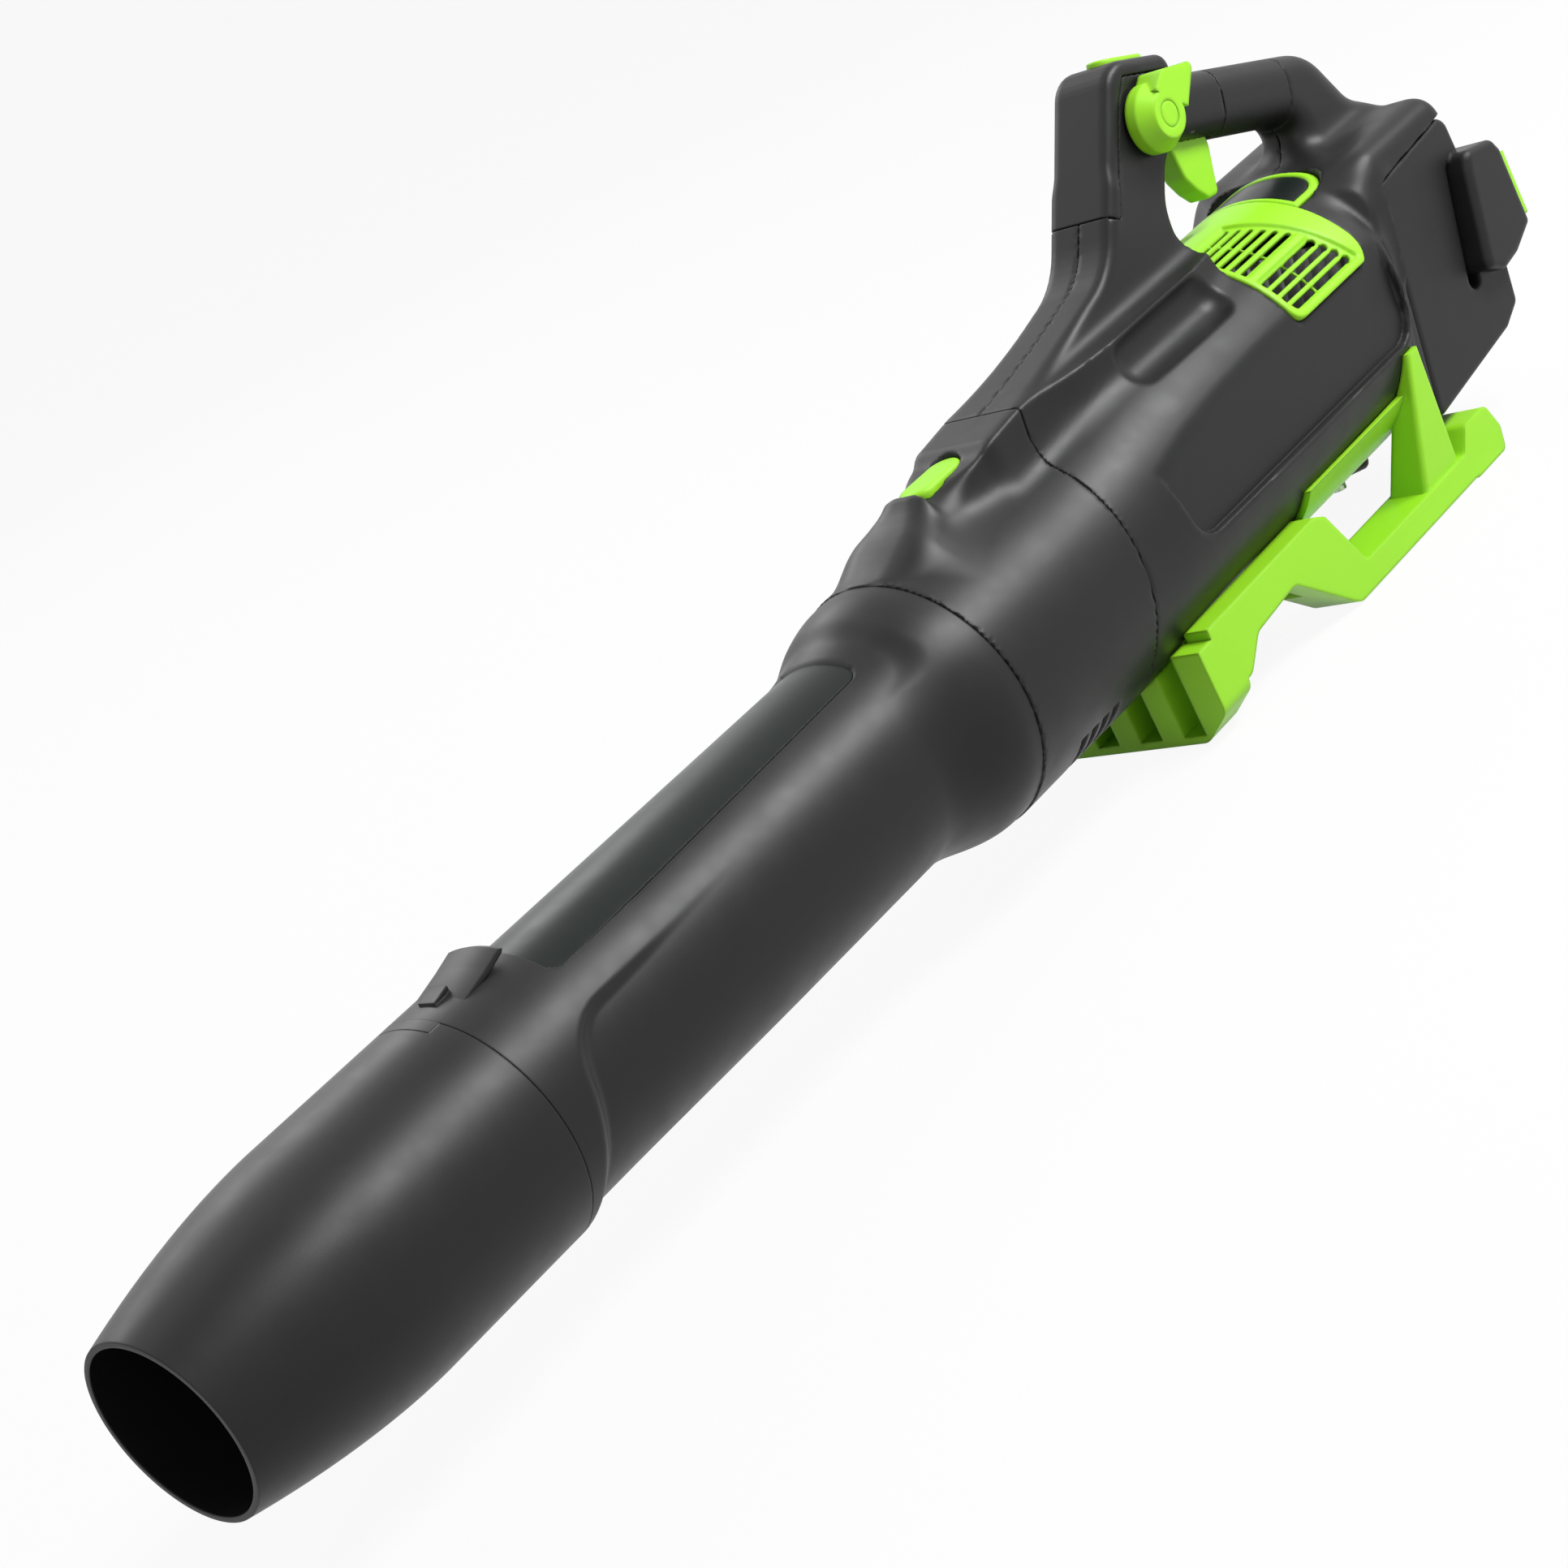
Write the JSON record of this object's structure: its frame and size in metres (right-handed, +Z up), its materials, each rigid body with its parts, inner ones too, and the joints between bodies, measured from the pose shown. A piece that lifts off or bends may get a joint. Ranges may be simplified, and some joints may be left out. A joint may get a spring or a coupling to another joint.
{
  "type": "cordless axial handheld leaf blower with slide-in battery",
  "caption": "Handheld cordless axial leaf blower: charcoal body and tube, tapered nozzle, bright green stand, intake grille, trigger, speed lever and keys, slide-in battery at the rear.",
  "frame": {"origin": "on the floor under the middle of the blower's length and width", "axes": "+X to the rear along the tube, towards the battery; +Y to the user's right; +Z up from the floor that the stand rests on"},
  "size_m": [0.9658, 0.136, 0.2745],
  "materials": {
    "charcoal_plastic": "satin, fine moulded grain",
    "dark_soft": "soft matte",
    "green_plastic": "satin, bright",
    "dark_panel": "semi-gloss",
    "black_plastic": "plain",
    "steel": "bright zinc",
    "copper_stack": "varnished windings on laminations",
    "aluminium": "bare",
    "brass": "bright",
    "cell_wrap": "shrink sleeve over the cell"
  },
  "bodies": {
    "housing": {"front_ring": "charcoal_plastic", "tube_seal": "dark_soft", "housing_left": "charcoal_plastic", "housing_right": "charcoal_plastic", "post_cover": "charcoal_plastic", "soft_grip": "dark_soft", "housing_screws": "steel", "intake_grille": "green_plastic", "window_pane": "dark_panel", "window_trim": "green_plastic", "trigger_pin": "steel", "trigger_spring": "steel", "trigger_switch": "black_plastic", "cruise_sensor": "black_plastic", "boost_switch": "black_plastic", "tube_button_spring": "steel", "fan_duct": "black_plastic", "tail_cone": "black_plastic", "motor_stator": "copper_stack", "front_bearing": "steel", "rear_bearing": "steel", "heat_sink": "aluminium", "controller_board": "black_plastic", "terminal_block": "black_plastic", "terminal_contacts": "brass", "stand": "green_plastic", "stand_screws": "steel"},
    "tube": {"blower_tube": "charcoal_plastic", "tube_panel": "dark_panel"},
    "nozzle": {"nozzle": "charcoal_plastic"},
    "nozzle_latch": {"nozzle_latch": "charcoal_plastic"},
    "tube_button": {"tube_button": "green_plastic"},
    "trigger": {"trigger": "green_plastic"},
    "cruise_lever": {"cruise_lever": "green_plastic", "cruise_cap": "green_plastic"},
    "boost_button": {"boost_button": "green_plastic"},
    "rotor": {"motor_rotor": "steel", "motor_shaft": "steel", "fan": "black_plastic", "fan_nut": "steel"},
    "battery": {"battery_case": "charcoal_plastic", "battery_cells": "cell_wrap"},
    "battery_latch_left": {"battery_latch_left": "green_plastic"},
    "battery_latch_right": {"battery_latch_right": "green_plastic"}
  },
  "joints": [
    {"name": "tube_slide", "type": "slide", "parent": "housing", "child": "tube", "axis": [-1, 0, 0], "range_m": [0, 0.09]},
    {"name": "nozzle_slide", "type": "slide", "parent": "tube", "child": "nozzle", "axis": [-1, 0, 0], "range_m": [0, 0.07]},
    {"name": "nozzle_latch_flex", "type": "hinge", "parent": "nozzle", "child": "nozzle_latch", "pos_m": [-0.3153, 0, 0.1452], "axis": [0, -1, 0], "range_deg": [0, 7], "stiffness_Nm_per_rad": 2},
    {"name": "tube_button_press", "type": "slide", "parent": "housing", "child": "tube_button", "axis": [0, 0, -1], "range_m": [0, 0.0035], "stiffness_N_per_m": 1500, "springref_m": -0.001, "deforming": ["tube_button_spring"]},
    {"name": "trigger_pull", "type": "hinge", "parent": "housing", "child": "trigger", "pos_m": [0.32248, 0, 0.22161], "axis": [0, -1, 0], "range_deg": [0, 14], "stiffness_Nm_per_rad": 1.2, "springref_deg": -8.59},
    {"name": "cruise_turn", "type": "hinge", "parent": "housing", "child": "cruise_lever", "pos_m": [0.28623, 0, 0.24118], "axis": [0, -1, 0], "range_deg": [0, 45]},
    {"name": "boost_press", "type": "slide", "parent": "housing", "child": "boost_button", "axis": [-0.3156, 0, -0.9489], "range_m": [0, 0.002], "stiffness_N_per_m": 1200, "springref_m": -0.001},
    {"name": "battery_slide", "type": "slide", "parent": "housing", "child": "battery", "axis": [0.9969, 0, 0.0785], "range_m": [0, 0.1]},
    {"name": "battery_latch_left_press", "type": "slide", "parent": "battery", "child": "battery_latch_left", "axis": [-1, 0, 0], "range_m": [0, 0.003], "stiffness_N_per_m": 1200, "springref_m": -0.001},
    {"name": "battery_latch_right_press", "type": "slide", "parent": "battery", "child": "battery_latch_right", "axis": [-1, 0, 0], "range_m": [0, 0.003], "stiffness_N_per_m": 1200, "springref_m": -0.001},
    {"name": "rotor_spin", "type": "hinge", "parent": "housing", "child": "rotor", "pos_m": [0.1599, 0, 0.092], "axis": [1, 0, 0], "continuous": true}
  ]
}
